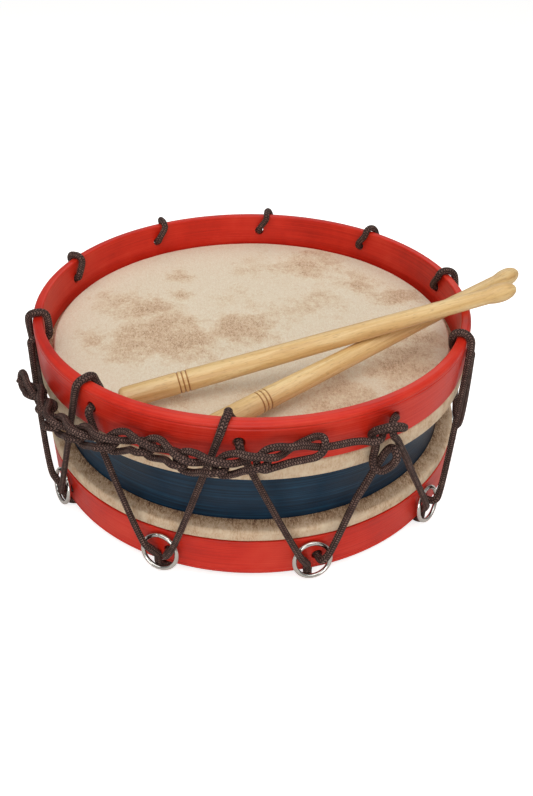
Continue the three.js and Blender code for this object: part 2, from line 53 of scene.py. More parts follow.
# what the pieces of the drum share, in millimetres and degrees
drum = {
    "radius": 165.0,  # outside the hoops
    "height": 132.0,
    "hoopWall": 7.4,
    "hoopHeight": 31.7,
    "innerRound": 1.5,
    "outerRound": 3.6,
    "recess": 25.3,  # from the hoop's edge down to the skin
    "shellGap": 4.2,
    "skin": 1.0,
    "seat": 0.3,
    "cord": 5.5,
    "insideGap": 0.5,  # from the hoop to the cord inside it
    "stand": 5.25,  # the lower hoop's edge above the floor
    "laces": 10,
    "firstRing": 32.5,  # from +X
    "crossing": 15.5,  # from a ring on to where the cord goes over the rim
    "topHole": 3.5,  # from there on to the upper hole
    "bottomHole": 1.7,  # from a ring on to the lower hole
    "under": -1.0,
    "holeInset": 14.5,
}
rimRadius = drum["radius"]
rimInner = rimRadius - drum["hoopWall"]
rimTop = drum["stand"] + drum["height"]
topSeat = rimTop - drum["hoopHeight"]
bottomSeat = drum["stand"] + drum["hoopHeight"]
headTop = rimTop - drum["recess"]
skinRadius = rimInner - drum["shellGap"]
shellRadius = skinRadius - drum["skin"] - drum["seat"]
cordRadius = drum["cord"] / 2
cordOutside = rimRadius + drum["seat"] + cordRadius
cordInside = rimInner - drum["insideGap"] - cordRadius
wrap = drum["seat"] + cordRadius
laceStep = 360 / drum["laces"]
topHoleHeight = rimTop - drum["holeInset"]
bottomHoleHeight = drum["stand"] + drum["holeInset"]


# a place round the drum, in metres, from degrees and millimetres
def around(degrees, radius, height):
    angle = math.radians(degrees)
    return (
        axisX + radius * mm * math.cos(angle),
        axisY + radius * mm * math.sin(angle),
        height * mm,
    )


def degreesOf(length, radius):
    return math.degrees(length / radius)


def smoothstep(value, low, high):
    share = min(1, max(0, (value - low) / (high - low)))
    return share * share * (3 - 2 * share)


# camera, floor and light

camera = {
    "forward": 524.8,  # from the drum's axis
    "height": 410.95,
    "down": 35.32,
    "turn": -0.61,
    "focal": 761.3,  # in pixels of the frame
    "centre": 244.4,
    "frame": (533, 796),
    "sensor": 36,
}
spot = (axisX, axisY - camera["forward"] * mm, camera["height"] * mm)
tilt = (math.radians(90 - camera["down"]), 0, math.radians(-camera["turn"]))
bpy.ops.object.camera_add(location=spot, rotation=tilt)
eye = bpy.context.object
eye.name = "camera"
frameWidth, frameHeight = camera["frame"]
eye.data.sensor_width = camera["sensor"]
eye.data.lens = camera["sensor"] * camera["focal"] / frameHeight
eye.data.shift_x = (frameWidth / 2 - camera["centre"]) / frameHeight
bpy.context.scene.camera = eye
bpy.context.scene.view_settings.view_transform = "Standard"


def linear(text):
    channels = [int(text[i : i + 2], 16) / 255 for i in (0, 2, 4)]
    return [c / 12.92 if c <= 0.04045 else ((c + 0.055) / 1.055) ** 2.4 for c in channels] + [1]


# adds a shader node: inputs are values, sockets, or nodes for their first output, options are its
# own settings, and a ramp is its places and its colours
def addNode(tree, kind, inputs=None, options=None, ramp=None):
    node = tree.nodes.new("ShaderNode" + kind)
    for key, value in (options or {}).items():
        setattr(node, key, value)
    for key, value in (inputs or {}).items():
        if isinstance(value, bpy.types.Node):
            value = value.outputs[0]
        if isinstance(value, bpy.types.NodeSocket):
            tree.links.new(value, node.inputs[key])
        else:
            node.inputs[key].default_value = value
    if ramp:
        stops = node.color_ramp.elements
        while len(stops) < len(ramp[0]):
            stops.new(0.5)
        for stop, place, colour in zip(stops, *ramp):
            stop.position = place
            stop.color = linear(colour)
    return node


# options that many nodes share
multiply = {"operation": "MULTIPLY"}
multiplyAdd = {"operation": "MULTIPLY_ADD"}
distance = {"operation": "DISTANCE"}
smooth = {"interpolation_type": "SMOOTHSTEP"}


def newMaterial(name):
    material = bpy.data.materials.new(name)
    material.use_nodes = True
    material.node_tree.nodes.clear()
    return material, material.node_tree


def finishMaterial(material, shader):
    addNode(material.node_tree, "OutputMaterial", {"Surface": shader})
    return material


studio = {
    "white": (1, 1, 1, 1),
    "sky": 0.3,
    "floor": "e8e6e2",
    "floorGlow": 0.72,  # seen by the camera only
    "floorSize": 9,
    "floorDrop": 0.0005,
    "aim": (0, 0, 0.08),
    "lights": {  # place, width and length, and power
        "keyLight": ((-0.3, -0.5, 1.5), (1.5, 1.5), 10.5),
        "fillLight": ((0.65, -0.5, 1.25), (1.2, 1.2), 5.2),
        "frontLight": ((-0.2, -1.7, 0.5), (1.2, 0.5), 8.5),
        "backLight": ((0.25, 1.1, 1.1), (1.2, 0.6), 4.0),
    },
}
# the world lights the drum dimly, and the camera sees it white
world = bpy.data.worlds.new("studio")
bpy.context.scene.world = world
world.use_nodes = True
sky = world.node_tree
sky.nodes.clear()
ray = addNode(sky, "LightPath")
dim = addNode(sky, "Background", {"Color": studio["white"], "Strength": studio["sky"]})
white = addNode(sky, "Background", {"Color": studio["white"], "Strength": 1.0})
both = addNode(sky, "MixShader", {0: ray.outputs["Is Camera Ray"], 1: dim, 2: white})
addNode(sky, "OutputWorld", {"Surface": both})

for name, (place, size, power) in studio["lights"].items():
    turn = (Vector(studio["aim"]) - Vector(place)).to_track_quat("-Z", "Y").to_euler()
    bpy.ops.object.light_add(type="AREA", location=place, rotation=turn)
    lamp = bpy.context.object
    lamp.name = name
    lamp.data.shape = "RECTANGLE"
    lamp.data.size, lamp.data.size_y = size
    lamp.data.energy = power

bpy.ops.mesh.primitive_plane_add(size=studio["floorSize"], location=(0, 0, -studio["floorDrop"]))
floor = bpy.context.object
floor.name = "floor"
floorPaper, tree = newMaterial("seamless white paper")
ray = addNode(tree, "LightPath")
matt = addNode(tree, "BsdfDiffuse", {"Color": linear(studio["floor"])})
glow = addNode(tree, "Emission", {"Color": studio["white"], "Strength": studio["floorGlow"]})
lit = addNode(tree, "AddShader", {0: matt, 1: glow})
paper = addNode(tree, "MixShader", {0: ray.outputs["Is Camera Ray"], 1: matt, 2: lit})
floor.data.materials.append(finishMaterial(floorPaper, paper))
print("camera, light and floor are set")

# materials, whose patterns have their sizes in millimetres

cord = {
    "step": 0.6,  # between the rings of its mesh
    "sides": 24,
    "rows": 6,  # of the braid's crowns round the cord
    "crown": 1.7,  # from one crown to the next along a row, a little more than it is, to show
    "slant": 0.6,  # of a crown's length, from the middle of its row out to the groove
    "lobe": 0.12,  # how far each row stands proud of the grooves
    "sunk": 0.8,  # of that, how far the grooves lie below the cord's thickness
    "worn": 0.45,  # how much one crown may be paler than another
    "dust": 11.111,  # from one paler stretch to the next
    "pulled": 4.9,  # its thickness where a leg is stretched
    "knot": 5.2,  # in the knot
    "tail": 4.7,  # and where it is plaited
    "taper": 0.8,  # of that, at its ends
    "cap": 0.4,  # how far the middle of an end stands out
    "lean": 1.0,  # degrees round the drum, from one side of the rim to the other
    # its tones run from the painted shade in a groove to the painted highlight on a crown
    "tones": ("241613", "4d3730", "6b5149", "866b60"),
}


# braided cord: dark brown polyester in rows of slanting crowns, two or three of which show from any side,
# with painted shade in the groove between rows and a painted highlight on each crown, paler on a crown
# that is worn
def braidedCord():
    material, tree = newMaterial("braided polyester cord")
    chart = addNode(tree, "UVMap", options={"uv_map": "braid"})
    split = addNode(tree, "SeparateXYZ", {0: chart})
    rows = addNode(tree, "Math", {0: split, 1: cord["rows"]}, multiply)
    row = addNode(tree, "Math", {0: rows}, {"operation": "FLOOR"})
    # nought in the middle of a row and one in the groove beside it
    fold = addNode(tree, "Math", {0: rows, 1: 0.5}, {"operation": "PINGPONG"})
    aside = addNode(tree, "Math", {0: fold, 1: -2.0, 2: 1.0}, multiplyAdd)
    # crowns along the row, half a crown on from the row before
    along = addNode(tree, "Math", {0: split.outputs[1], 1: cord["crown"]}, {"operation": "DIVIDE"})
    step = addNode(tree, "Math", {0: row, 1: 0.5, 2: along}, multiplyAdd)
    slant = addNode(tree, "Math", {0: aside, 1: cord["slant"], 2: step}, multiplyAdd)
    turn = addNode(tree, "Math", {0: slant, 1: 2 * math.pi}, multiply)
    wave = addNode(tree, "Math", {0: turn}, {"operation": "SINE"})
    crown = addNode(tree, "MapRange", {0: wave, 1: -0.7, 2: 0.7}, smooth)
    groove = addNode(tree, "MapRange", {0: aside, 1: 0.55, 2: 1.0, 3: 1.0, 4: 0.15}, smooth)
    proud = addNode(tree, "Math", {0: crown, 1: groove}, multiply)
    # each crown is worn by its own amount
    number = addNode(tree, "Math", {0: slant}, {"operation": "FLOOR"})
    cell = addNode(tree, "CombineXYZ", {0: row, 1: number})
    worn = addNode(tree, "TexWhiteNoise", {"Vector": cell})
    here = addNode(tree, "TexCoord").outputs["Object"]
    dust = addNode(
        tree, "TexNoise", {"Vector": here, "Scale": 1000 / cord["dust"], "Detail": 3, "Roughness": 0.7}
    )
    wear = addNode(tree, "Math", {0: worn, 1: cord["worn"], 2: dust}, multiplyAdd)
    # painted light and shade: the colour follows the braid's relief, paler on the crowns and darker in the
    # grooves, scaled by each crown's own wear
    lit = addNode(tree, "Math", {0: proud, 1: wear}, multiply)
    colour = addNode(tree, "ValToRGB", {0: lit}, ramp=((0.0, 0.3, 0.7, 1.0), cord["tones"]))
    bump = addNode(tree, "Bump", {"Height": proud, "Strength": 0.8, "Distance": 0.5 * mm})
    shader = addNode(
        tree,
        "BsdfPrincipled",
        {"Base Color": colour, "Roughness": 0.7, "Specular IOR Level": 0.25, "Normal": bump},
    )
    return finishMaterial(material, shader)


paint = {
    "brush": (83.333, 83.333, 0.76923),  # a brush mark's length round the drum, and its width
    "patch": 45.455,  # from one thicker patch to the next
    "grit": 2.381,  # dust in the paint, coarser than it is, to show
    "roughness": 0.42,
    "coat": 0.08,
    "red": ("a51509", "cd2714", "dc4430"),
    "redStreak": 0.45,  # how much of its mottle is brush marks
    "blue": ("061420", "0c2a3f", "1b4c67"),
    "blueStreak": 0.7,
}


# brushed enamel on steam-bent wood: gloss with long low streaks that run round the hoop
def enamel(name, tones, streak):
    material, tree = newMaterial(name)
    here = addNode(tree, "TexCoord").outputs["Object"]
    scale = [1000 / size for size in paint["brush"]]
    lie = addNode(tree, "Mapping", {"Vector": here, "Scale": scale})
    brush = addNode(tree, "TexNoise", {"Vector": lie, "Scale": 1.0, "Detail": 4, "Roughness": 0.6})
    patch = addNode(
        tree, "TexNoise", {"Vector": here, "Scale": 1000 / paint["patch"], "Detail": 5, "Roughness": 0.6}
    )
    mottle = addNode(tree, "Mix", {0: streak, 2: patch, 3: brush}, {"data_type": "FLOAT"})
    colour = addNode(tree, "ValToRGB", {0: mottle}, ramp=((0.3, 0.5, 0.72), tones))
    grit = addNode(tree, "TexNoise", {"Vector": here, "Scale": 1000 / paint["grit"], "Detail": 3})
    rise = addNode(tree, "Math", {0: grit, 1: 0.35, 2: brush}, multiplyAdd)
    bump = addNode(tree, "Bump", {"Height": rise, "Strength": 0.22, "Distance": 0.6 * mm})
    # thin paint shines a little more
    dull = addNode(
        tree,
        "MapRange",
        {0: patch, 1: 0.3, 2: 0.7, 3: paint["roughness"] - 0.06, 4: paint["roughness"] + 0.08},
    )
    shader = addNode(
        tree,
        "BsdfPrincipled",
        {
            "Base Color": colour,
            "Roughness": dull,
            "Specular IOR Level": 0.25,
            "Coat Weight": paint["coat"],
            "Coat Roughness": 0.18,
            "Normal": bump,
        },
    )
    return finishMaterial(material, shader)


goatskin = {
    "tones": ("ece0c9", "e0caab", "d0b090", "a58263"),
    "lapTones": ("e0cbae", "d0b08f", "ab8564", "6e4e3a"),  # hairier, so browner
    "ledge": 0.52,  # how much browner the lap is beside the shell
    "stub": (1.2, 2.3),  # a hair stub's width and length, twice the real ones so that they show
    "lapStub": (1.0, 3.2),
    "pore": 1.4286,  # coarser than it is, to show
    "lie": 0.75,  # the way of the hair, turned from across the drum
    "mottle": 9.0909,  # from one brown spot of the lap to the next
    "cloud": 16.667,  # the widest of the flecks that break a tan patch up
    "wander": 26.316,  # from one bay in a patch's edge to the next
    "ragged": 30.0,  # how far the edges of the tan patches wander
    "patches": [  # right of the drum's axis, back from it, across, and how brown
        (-108, 32, 42, 0.8), (-88, 18, 50, 0.9), (-72, -8, 58, 1.0), (-50, -28, 58, 1.0),
        (-92, -34, 46, 0.9), (-120, -22, 34, 0.7), (-62, 82, 22, 0.8), (-58, 44, 26, 0.7),
        (-14, 44, 40, 0.5), (4, 104, 46, 0.6), (-6, -8, 56, 0.9), (24, 16, 40, 0.5),
        (54, 108, 54, 0.9), (56, 38, 50, 0.6), (96, 70, 46, 0.7), (122, 44, 36, 0.9),
        (122, -24, 42, 0.9), (106, -58, 56, 0.9), (60, -98, 56, 0.8), (-10, -98, 34, 0.5),
        (-54, -108, 32, 0.5),
    ],
}


# stubs of hair, which lie one way over the whole skin
def hairStubs(tree, here, size):
    wide, long = size
    lie = addNode(
        tree,
        "Mapping",
        {
            "Vector": here,
            "Rotation": (0, 0, goatskin["lie"]),
            "Scale": (1000 / wide, 1000 / long, 1000 / long),
        },
    )
    stub = addNode(tree, "TexNoise", {"Vector": lie, "Scale": 1.0, "Distortion": 1.2})
    return addNode(tree, "MapRange", {0: stub, 1: 0.36, 2: 0.64})


# colour, bump and shader that both finishes of the skin share
def finishGoatskin(material, here, tones, brown, stubs):
    tree = material.node_tree
    colour = addNode(tree, "ValToRGB", {0: brown}, ramp=((0.0, 0.3, 0.62, 1.0), tones))
    pore = addNode(tree, "TexNoise", {"Vector": here, "Scale": 1000 / goatskin["pore"]})
    rise = addNode(tree, "Math", {0: pore, 1: 0.6, 2: stubs}, multiplyAdd)
    bump = addNode(tree, "Bump", {"Height": rise, "Strength": 0.5, "Distance": 0.5 * mm})
    shader = addNode(
        tree,
        "BsdfPrincipled",
        {"Base Color": colour, "Roughness": 0.68, "Specular IOR Level": 0.4, "Normal": bump},
    )
    return finishMaterial(material, shader)


# scraped goatskin, stretched and dried: matt cream, pebbled all over, with ragged tan patches where
# the scraping left stubs of the hair
def scrapedSkin():
    material, tree = newMaterial("scraped goatskin head")
    here = addNode(tree, "TexCoord").outputs["Object"]
    wander = addNode(
        tree,
        "TexNoise",
        {"Vector": here, "Scale": 1000 / goatskin["wander"], "Detail": 6, "Roughness": 0.62},
    )
    # the patches lie on a flat chart of the skin, whose places the noise shifts about
    reach = goatskin["ragged"] * mm
    shifted = addNode(
        tree, "VectorMath", {0: wander.outputs["Color"], 1: (reach, reach, 0), 2: here}, multiplyAdd
    )
    flat = addNode(tree, "VectorMath", {0: shifted, 1: (1, 1, 0)}, multiply)
    tan = None
    for right, back, across, deep in goatskin["patches"]:
        centre = (axisX + right * mm + reach / 2, axisY + back * mm + reach / 2, 0)
        apart = addNode(tree, "VectorMath", {0: flat, 1: centre}, distance)
        middle = {0: apart.outputs["Value"], 2: across * mm, 3: deep, 4: 0.0}
        patch = addNode(tree, "MapRange", middle, smooth)
        if tan:
            patch = addNode(tree, "Math", {0: patch, 1: tan}, {"operation": "MAXIMUM"})
        tan = patch
    cloud = addNode(
        tree,
        "TexNoise",
        {"Vector": here, "Scale": 1000 / goatskin["cloud"], "Detail": 9, "Roughness": 0.76},
    )
    thick = addNode(tree, "Math", {0: cloud, 1: 2.6, 2: tan}, multiplyAdd)
    patchy = addNode(tree, "MapRange", {0: thick, 1: 1.5, 2: 2.4, 3: 0.02, 4: 0.62}, smooth)
    # a stub darkens the skin a little, and more in a patch
    stubs = hairStubs(tree, here, goatskin["stub"])
    worth = addNode(tree, "Math", {0: stubs, 1: 0.55, 2: 0.6}, multiplyAdd)
    brown = addNode(tree, "Math", {0: patchy, 1: worth}, multiply)
    pebbled = addNode(tree, "Math", {0: stubs, 1: 0.2, 2: brown}, multiplyAdd)
    return finishGoatskin(material, here, goatskin["tones"], pebbled, stubs)


# the same skin where it is lapped over its hoop: hairy and brown on the ledge beside the shell,
# scraped paler outside
def hairySkin():
    material, tree = newMaterial("hairy goatskin lap")
    here = addNode(tree, "TexCoord").outputs["Object"]
    mottle = addNode(
        tree,
        "TexNoise",
        {"Vector": here, "Scale": 1000 / goatskin["mottle"], "Detail": 5, "Roughness": 0.65},
    )
    hair = hairStubs(tree, here, goatskin["lapStub"])
    flat = addNode(tree, "VectorMath", {0: here, 1: (1, 1, 0)}, multiply)
    out = addNode(tree, "VectorMath", {0: flat, 1: (axisX, axisY, 0)}, distance).outputs["Value"]
    edge, wall = (rimRadius - 0.5) * mm, skinRadius * mm
    ledge = addNode(tree, "MapRange", {0: out, 1: edge, 2: wall, 4: goatskin["ledge"]})
    patch = addNode(tree, "MapRange", {0: mottle, 1: 0.35, 2: 0.7, 3: 0.04, 4: 0.5})
    base = addNode(tree, "Math", {0: patch, 1: ledge}, {"operation": "ADD"})
    worth = addNode(tree, "Math", {0: hair, 1: 0.85, 2: 0.4}, multiplyAdd)
    brown = addNode(tree, "Math", {0: base, 1: worth}, multiply)
    return finishGoatskin(material, here, goatskin["lapTones"], brown, hair)


steel = {
    "tone": "cfccc6",
    "scratch": 3.8462,  # across a patch of scratches, which is wider than it is, to show
}


# bright nickel over welded steel wire: a mirror with fine handling scratches
def platedSteel():
    material, tree = newMaterial("nickel-plated steel wire")
    here = addNode(tree, "TexCoord").outputs["Object"]
    scratch = addNode(
        tree, "TexNoise", {"Vector": here, "Scale": 1000 / steel["scratch"], "Detail": 5, "Roughness": 0.7}
    )
    dull = addNode(tree, "MapRange", {0: scratch, 1: 0.3, 2: 0.75, 3: 0.08, 4: 0.3})
    bump = addNode(tree, "Bump", {"Height": scratch, "Strength": 0.08, "Distance": 0.4 * mm})
    shader = addNode(
        tree,
        "BsdfPrincipled",
        {"Base Color": linear(steel["tone"]), "Metallic": 1.0, "Roughness": dull, "Normal": bump},
    )
    return finishMaterial(material, shader)


wood = {
    "grain": (4.1667, 4.1667, 71.429),  # its width, width and length
    "pore": (1.0, 1.0, 5.0),  # wider than it is, to show
    "poreTone": "9b7040",
    "ramin": ("c4975a", "dab477", "ebd09a"),
    "scorched": ("8a5f33", "a3723f", "b98a52"),
    "ash": ("b98f5e", "c9a272", "d9b68a"),
}


# pale hardwood: straight grain with short dark pores, along the piece's own chart if it has one
def turnedWood(name, tones, attribute):
    material, tree = newMaterial(name)
    if attribute:
        here = addNode(tree, "Attribute", options={"attribute_name": attribute}).outputs["Vector"]
    else:
        here = addNode(tree, "TexCoord").outputs["Object"]
    scale = [1000 / size for size in wood["grain"]]
    lie = addNode(tree, "Mapping", {"Vector": here, "Scale": scale})
    grain = addNode(
        tree, "TexNoise", {"Vector": lie, "Scale": 1, "Detail": 6, "Roughness": 0.68, "Distortion": 0.4}
    )
    scale = [1000 / size for size in wood["pore"]]
    fleck = addNode(tree, "Mapping", {"Vector": here, "Scale": scale})
    pores = addNode(tree, "TexNoise", {"Vector": fleck, "Scale": 1})
    colour = addNode(tree, "ValToRGB", {0: grain}, ramp=((0.28, 0.5, 0.72), tones))
    dark = addNode(tree, "MapRange", {0: pores, 1: 0.56, 2: 0.76, 4: 0.45})
    flecked = addNode(
        tree, "Mix", {0: dark, 6: colour, 7: linear(wood["poreTone"])}, {"data_type": "RGBA"}
    )
    bump = addNode(tree, "Bump", {"Height": grain, "Strength": 0.15, "Distance": 0.4 * mm})
    shader = addNode(
        tree,
        "BsdfPrincipled",
        {
            "Base Color": flecked.outputs[2],
            "Roughness": 0.42,
            "Coat Weight": 0.2,
            "Coat Roughness": 0.25,
            "Normal": bump,
        },
    )
    return finishMaterial(material, shader)


cordFinish = braidedCord()
redEnamel = enamel("red brushed enamel on bent wood", paint["red"], paint["redStreak"])
blueEnamel = enamel("dark blue brushed enamel on bent wood", paint["blue"], paint["blueStreak"])
headSkin = scrapedSkin()
collarSkin = hairySkin()
wireFinish = platedSteel()
stickFinish = turnedWood("lacquered turned ramin", wood["ramin"], "grain")
burntLine = turnedWood("turned ramin scorched in its grooves", wood["scorched"], "grain")
hoopWood = turnedWood("bare bent ash", wood["ash"], None)
print("materials are made")

# shared modelling steps


def deselectAll():
    if bpy.context.object and bpy.context.object.mode != "OBJECT":
        bpy.ops.object.mode_set(mode="OBJECT")
    bpy.ops.object.select_all(action="DESELECT")


def selectOnly(piece):
    deselectAll()
    piece.select_set(True)
    bpy.context.view_layer.objects.active = piece


def finishPiece(piece, body, material, nodes, angle=None):
    if angle:
        selectOnly(piece)
        bpy.ops.object.shade_smooth_by_angle(angle=math.radians(angle))
    piece.data.materials.clear()
    piece.data.materials.append(material)
    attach(piece, body)
    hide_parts(*nodes)
    return piece


# a copy with its own mesh
def copyOf(piece, name):
    selectOnly(piece)
    bpy.ops.object.duplicate(linked=False)
    bpy.context.object.name = name
    return bpy.context.object


# moves a piece that stands at the origin, and puts the move in its mesh
def setDown(piece, place):
    selectOnly(piece)
    piece.matrix_world = place
    bpy.ops.object.transform_apply(location=True, rotation=True, scale=True)


# the turn round the drum's axis
def roundTheDrum(degrees):
    axis = Vector((axisX, axisY, 0))
    turn = Matrix.Rotation(math.radians(degrees), 4, "Z")
    return Matrix.Translation(axis) @ turn @ Matrix.Translation(-axis)


# an outline of radius and height whose corners are rounded: each point is (radius, height, round)
def rounded(points, steps=6, closed=True):
    outline = []
    count = len(points)
    for i, (x, z, bend) in enumerate(points):
        here = Vector((x, z))
        if not bend or (not closed and i in (0, count - 1)):
            outline.append(here)
            continue
        before = (Vector(points[i - 1][:2]) - here).normalized()
        after = (Vector(points[(i + 1) % count][:2]) - here).normalized()
        half = before.angle(after) / 2
        middle = here + (before + after).normalized() * (bend / math.sin(half))
        first = here + before * (bend / math.tan(half)) - middle
        last = here + after * (bend / math.tan(half)) - middle
        for step in range(steps + 1):
            share = step / steps
            spoke = (first * (1 - share) + last * share).normalized() * bend
            outline.append(middle + spoke)
    return outline


# a turned piece: its outline is extruded point by point and spun about the upright axis
def spunPiece(name, outline, centre, steps, closed):
    deselectAll()
    first = outline[0]
    start = (centre[0] + first[0] * mm, centre[1], first[1] * mm)
    bpy.ops.mesh.primitive_plane_add(size=mm)
    piece = bpy.context.object
    piece.name = name
    bpy.ops.object.mode_set(mode="EDIT")
    bpy.ops.mesh.select_all(action="SELECT")
    bpy.ops.mesh.merge(type="CENTER")
    bpy.ops.transform.translate(value=start)
    for here, there in zip(outline, outline[1:]):
        step = ((there[0] - here[0]) * mm, 0, (there[1] - here[1]) * mm)
        bpy.ops.mesh.extrude_vertices_move(TRANSFORM_OT_translate={"value": step})
    if closed:
        shape = bmesh.from_edit_mesh(piece.data)
        ends = [v for v in shape.verts if len(v.link_edges) == 1]
        bpy.ops.mesh.select_all(action="DESELECT")
        for v in ends:
            v.select = True
        shape.select_flush(True)
        bmesh.update_edit_mesh(piece.data)
        bpy.ops.mesh.edge_face_add()
    bpy.ops.mesh.select_all(action="SELECT")
    bpy.ops.mesh.spin(steps=steps, angle=2 * math.pi, center=(*centre, 0), axis=(0, 0, 1))
    bpy.ops.mesh.select_all(action="SELECT")
    bpy.ops.mesh.remove_doubles(threshold=0.002 * mm)
    bpy.ops.mesh.normals_make_consistent(inside=False)
    bpy.ops.object.mode_set(mode="OBJECT")
    return piece


# the cord

rings = {
    "width": 29.0,
    "wire": 3.2,
    "middle": 15.55,  # above the lower hoop's edge
    "clear": 1.3,  # between the wire and the cord in front of it
    "leftLeg": 140,  # where on the wire the cord comes down to it
    "rightLeg": 36,  # and where it leaves it
    "turns": 108,
    "sides": 20,
    "joint": 0.61,  # of a turn, where the weld lies, and how far each next ring's is on
    "jointStep": 0.13,
    "pinch": 0.8,  # of the wire's thickness, at the weld
    "smoothBelow": 60,
}
ringRadius = (rings["width"] - rings["wire"]) / 2
ringHeight = drum["stand"] + rings["middle"]
wireInner = rimRadius + drum["seat"] + rings["wire"] / 2
wireOuter = cordOutside + cordRadius + drum["seat"] + rings["wire"] / 2
ringLean = math.asin((wireOuter - wireInner) / (2 * ringRadius))
ringOut = (wireInner + wireOuter) / 2
footTop = 6.1  # above the lower hoop's edge, where the cord begins to turn under it
holeBend = 3.6  # how far above or below a hole the cord begins to turn into it
legsOut = 0.9  # how far the legs bow out in front of the upper lap
floorGap = 0.02


# a smooth line through points of x, y, z and thickness, in even steps
def evenLine(points, step, samples=24):
    padded = np.vstack([2 * points[0] - points[1], points, 2 * points[-1] - points[-2]])
    line = []
    for i in range(1, len(padded) - 2):
        p0, p1, p2, p3 = padded[i - 1 : i + 3]
        pairs = ((p0, p1), (p1, p2), (p2, p3))
        d0, d1, d2 = (max(np.linalg.norm((b - a)[:3]), 1e-9) ** 0.5 for a, b in pairs)
        t1 = ((p1 - p0) / d0 - (p2 - p0) / (d0 + d1) + (p2 - p1) / d1) * d1
        t2 = ((p2 - p1) / d1 - (p3 - p1) / (d1 + d2) + (p3 - p2) / d2) * d1
        t = np.linspace(0, 1, samples, endpoint=False)[:, None]
        line.append(
            p1 * (2 * t**3 - 3 * t**2 + 1)
            + t1 * (t**3 - 2 * t**2 + t)
            + p2 * (3 * t**2 - 2 * t**3)
            + t2 * (t**3 - t**2)
        )
    line = np.vstack([*line, points[-1:]])
    travel = np.concatenate([[0], np.cumsum(np.linalg.norm(np.diff(line[:, :3], axis=0), axis=1))])
    count = max(8, round(travel[-1] / step))
    even = np.linspace(0, travel[-1], count + 1)
    line = np.stack([np.interp(even, travel, line[:, k]) for k in range(4)], axis=1)
    for _ in range(2):
        line[1:-1] = (line[:-2] + 2 * line[1:-1] + line[2:]) / 4
    return line


# a braided cord along a route, its thickness one number or one for each point: the rows of its
# braid stand a little proud, and its chart gives the place round it and along it
def braided(name, route, thickness, body, nodes):
    sizes = np.broadcast_to(thickness, len(route)) * mm
    line = evenLine(np.column_stack([route, sizes]), cord["step"] * mm)
    line, sizes = line[:, :3], line[:, 3]
    ahead = np.gradient(line, axis=0)
    ahead /= np.linalg.norm(ahead, axis=1)[:, None]
    side = np.cross(ahead[0], (0, 0, 1)) if abs(ahead[0][2]) < 0.9 else np.cross(ahead[0], (1, 0, 0))
    sides = []
    for direction in ahead:
        side = side - direction * np.dot(side, direction)
        side = side / np.linalg.norm(side)
        sides.append(side)
    sides = np.array(sides)
    ups = np.cross(ahead, sides)
    count, ringSize = len(line), cord["sides"]
    turn = np.arange(ringSize) / ringSize
    angle = 2 * math.pi * turn
    lobes = cord["lobe"] * mm * (np.abs(np.sin(cord["rows"] * math.pi * turn)) - cord["sunk"])
    radius = sizes[:, None] / 2 + lobes[None, :]
    radius[[0, -1]] *= cord["taper"]
    spoke = sides[:, None] * np.cos(angle)[:, None] + ups[:, None] * np.sin(angle)[:, None]
    verts = (line[:, None, :] + spoke * radius[:, :, None]).reshape(-1, 3)
    cap = cord["cap"] * mm
    verts = np.vstack([verts, line[0] - ahead[0] * cap, line[-1] + ahead[-1] * cap])
    i = np.arange(count - 1)[:, None] * ringSize
    j = np.arange(ringSize)[None, :]
    k = (j + 1) % ringSize
    quads = np.stack([i + j, i + k, i + ringSize + k, i + ringSize + j], axis=-1).reshape(-1, 4)
    first, last, tail = len(verts) - 2, len(verts) - 1, (count - 1) * ringSize
    caps = [(first, (n + 1) % ringSize, n) for n in range(ringSize)]
    caps += [(last, tail + n, tail + (n + 1) % ringSize) for n in range(ringSize)]
    mesh = bpy.data.meshes.new(name)
    mesh.from_pydata(verts.tolist(), [], quads.tolist() + caps)
    mesh.update()
    across, along = j / ringSize + 0 * i, i / ringSize * cord["step"] + 0 * j
    lie = [(across, along), (across + 1 / ringSize, along)]
    lie += [(u, v + cord["step"]) for u, v in lie[::-1]]
    chart = np.stack([np.stack(corner, axis=-1) for corner in lie], axis=2).reshape(-1, 2)
    store = mesh.uv_layers.new(name="braid")
    # the ends' fans of triangles have no chart
    store.data.foreach_set("uv", np.append(chart.ravel(), np.zeros(12 * ringSize)).astype(np.float32))
    mesh.polygons.foreach_set("use_smooth", [True] * len(mesh.polygons))
    piece = bpy.data.objects.new(name, mesh)
    bpy.context.scene.collection.objects.link(piece)
    return finishPiece(piece, body, cordFinish, nodes)


# where the cord passes in front of the ring's wire
def overWire(ringAt, degrees):
    angle = math.radians(degrees)
    up = ringRadius * math.sin(angle)
    radius = ringOut - up * math.sin(ringLean) + rings["wire"] / 2 + cordRadius + rings["clear"]
    side = degreesOf(ringRadius * math.cos(angle), radius)
    return ringAt + side, radius, ringHeight + up * math.cos(ringLean)


# a route's small numbers are degrees and millimetres from a hole or the wire to a bend's points
def outOfLowerHole(ringAt):
    hole = ringAt + drum["bottomHole"]
    degrees, radius, height = overWire(ringAt, rings["rightLeg"])
    return [
        around(hole, cordInside, drum["stand"] + footTop + drum["seat"]),
        around(hole, cordInside, bottomHoleHeight - holeBend),
        around(hole, cordInside + 1, bottomHoleHeight - 1),
        around(hole, rimInner + 0.8, bottomHoleHeight),
        around(hole, rimRadius, bottomHoleHeight),
        around(hole + 0.2, radius - 2.2, bottomHoleHeight + 1),
        around(hole + 0.6, radius - 0.2, bottomHoleHeight + 3.4),
        around(degrees, radius, height),
    ]


# the cord's middle where it bends round a hoop's edge: 0 degrees is outside and 180 inside, and up
# is 1 at the upper edge and -1 at the lower
def roundTheEdge(turn, inside, edge, up):
    bend = drum["innerRound"] if inside else drum["outerRound"]
    arc = bend + wrap
    centre = cordInside + arc if inside else cordOutside - arc
    angle = math.radians(turn)
    return centre + arc * math.cos(angle), edge + up * (arc * math.sin(angle) - bend)


